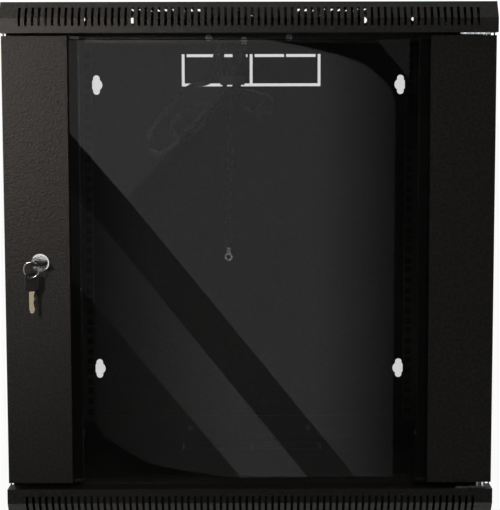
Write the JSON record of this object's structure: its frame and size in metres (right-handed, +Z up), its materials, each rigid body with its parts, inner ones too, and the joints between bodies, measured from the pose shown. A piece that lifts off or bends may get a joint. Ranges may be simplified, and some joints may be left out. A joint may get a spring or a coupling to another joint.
{
  "type": "wall mount network cabinet",
  "caption": "Wall mount network cabinet with a smoked glass door, vented fascias, key lock, sliding equipment rails and latched side panels.",
  "frame": {"origin": "middle of the rear panel's outer face, which lies against the wall", "axes": "+Y into the wall, +X to the right of someone who faces the door, +Z up"},
  "size_m": [0.605, 0.4736, 0.635],
  "materials": {
    "black_powder_coat": "fine textured powder coat",
    "zinc_plate": "zinc plated",
    "bright_steel": "polished wire and pin",
    "smoked_glass": "clear toughened, grey tint",
    "foam_tape": "matt",
    "chrome_plate": "bright",
    "nickel_silver": "nickel plated",
    "black_plastic": "moulded",
    "tinned_copper": "tinned",
    "black_rubber": "matt",
    "black_pvc": "smooth flexible sheath"
  },
  "bodies": {
    "cabinet": {"base": "black_powder_coat", "door_bumpers": "black_rubber", "door_stops": "black_powder_coat", "earth_lead_hank": "black_pvc", "earth_lead_lower": "black_pvc", "earth_lead_upper": "black_pvc", "earth_nut": "zinc_plate", "earth_stud": "zinc_plate", "frame_screws": "zinc_plate", "hinge_bracket_bottom": "zinc_plate", "hinge_bracket_screws": "zinc_plate", "hinge_bracket_top": "zinc_plate", "lead_sleeve": "black_pvc", "lead_terminal_lower": "tinned_copper", "lead_terminal_upper": "tinned_copper", "lead_tie": "black_plastic", "post_ends": "black_powder_coat", "post_flanges": "black_powder_coat", "post_left": "black_powder_coat", "post_right": "black_powder_coat", "rear_panel": "black_powder_coat", "roof": "black_powder_coat", "side_bar_lower_left": "black_powder_coat", "side_bar_lower_right": "black_powder_coat", "side_bar_upper_left": "black_powder_coat", "side_bar_upper_right": "black_powder_coat"},
    "door": {"door_stile_left": "black_powder_coat", "door_stile_right": "black_powder_coat", "door_glass": "smoked_glass", "glass_tapes": "foam_tape", "lock_body": "chrome_plate", "lock_nut": "zinc_plate"},
    "hinge_release_pin": {"hinge_pin": "bright_steel", "hinge_spring": "bright_steel"},
    "door_lock_plug": {"lock_plug": "chrome_plate", "lock_cam": "zinc_plate", "lock_cam_screw": "zinc_plate"},
    "key": {"key_blade": "nickel_silver", "key_head": "black_plastic"},
    "ring": {"key_ring": "bright_steel"},
    "spare_key": {"spare_key_blade": "nickel_silver", "spare_key_head": "black_plastic"},
    "front_rail_left": {"rail_front_left": "black_powder_coat", "rail_front_screws_left": "zinc_plate"},
    "front_rail_right": {"rail_front_right": "black_powder_coat", "rail_front_screws_right": "zinc_plate"},
    "rear_rail_left": {"rail_rear_left": "black_powder_coat", "rail_rear_screws_left": "zinc_plate"},
    "rear_rail_right": {"rail_rear_right": "black_powder_coat", "rail_rear_screws_right": "zinc_plate"},
    "panel_left": {"side_panel_left": "black_powder_coat", "panel_lock_body_left": "chrome_plate", "panel_lock_nut_left": "zinc_plate"},
    "panel_plug_left": {"panel_lock_plug_left": "chrome_plate", "panel_lock_cam_left": "zinc_plate"},
    "panel_right": {"side_panel_right": "black_powder_coat", "panel_lock_body_right": "chrome_plate", "panel_lock_nut_right": "zinc_plate"},
    "panel_plug_right": {"panel_lock_plug_right": "chrome_plate", "panel_lock_cam_right": "zinc_plate"}
  },
  "joints": [
    {"name": "door_hinge", "type": "hinge", "parent": "cabinet", "child": "door", "pos_m": [0.285, -0.44, 0], "axis": [0, 0, 1], "range_deg": [0, 180]},
    {"name": "hinge_pin_slide", "type": "slide", "parent": "door", "child": "hinge_release_pin", "axis": [0, 0, -1], "range_m": [0, 0.008], "stiffness_N_per_m": 400, "springref_m": -0.005, "deforming": ["hinge_spring"]},
    {"name": "door_lock_turn", "type": "hinge", "parent": "door", "child": "door_lock_plug", "pos_m": [-0.2555, -0.446, 0.002], "axis": [0, -1, 0], "range_deg": [0, 90]},
    {"name": "key_pull", "type": "slide", "parent": "door_lock_plug", "child": "key", "axis": [0, -1, 0], "range_m": [0, 0.03]},
    {"name": "ring_swing", "type": "hinge", "parent": "key", "child": "ring", "pos_m": [-0.2635, -0.4666, 0.002], "axis": [0, 1, 0], "range_deg": [-30, 95]},
    {"name": "spare_key_swing", "type": "hinge", "parent": "ring", "child": "spare_key", "pos_m": [-0.2635, -0.4666, -0.00384], "axis": [0, 1, 0], "range_deg": [-30, 30]},
    {"name": "front_rail_left_slide", "type": "slide", "parent": "cabinet", "child": "front_rail_left", "axis": [0, 1, 0], "range_m": [-0.022, 0.075]},
    {"name": "rear_rail_left_slide", "type": "slide", "parent": "cabinet", "child": "rear_rail_left", "axis": [0, 1, 0], "range_m": [-0.1, 0]},
    {"name": "front_rail_right_slide", "type": "slide", "parent": "cabinet", "child": "front_rail_right", "axis": [0, 1, 0], "range_m": [-0.022, 0.075]},
    {"name": "rear_rail_right_slide", "type": "slide", "parent": "cabinet", "child": "rear_rail_right", "axis": [0, 1, 0], "range_m": [-0.1, 0]},
    {"name": "panel_left_tilt", "type": "hinge", "parent": "cabinet", "child": "panel_left", "pos_m": [-0.3, -0.211, -0.2972], "axis": [0, -1, 0], "range_deg": [0, 45]},
    {"name": "panel_lock_left_turn", "type": "hinge", "parent": "panel_left", "child": "panel_plug_left", "pos_m": [-0.3, -0.211, 0.2685], "axis": [1, 0, 0], "range_deg": [0, 90]},
    {"name": "panel_right_tilt", "type": "hinge", "parent": "cabinet", "child": "panel_right", "pos_m": [0.3, -0.211, -0.2972], "axis": [0, 1, 0], "range_deg": [0, 45]},
    {"name": "panel_lock_right_turn", "type": "hinge", "parent": "panel_right", "child": "panel_plug_right", "pos_m": [0.3, -0.211, 0.2685], "axis": [1, 0, 0], "range_deg": [0, 90]}
  ]
}
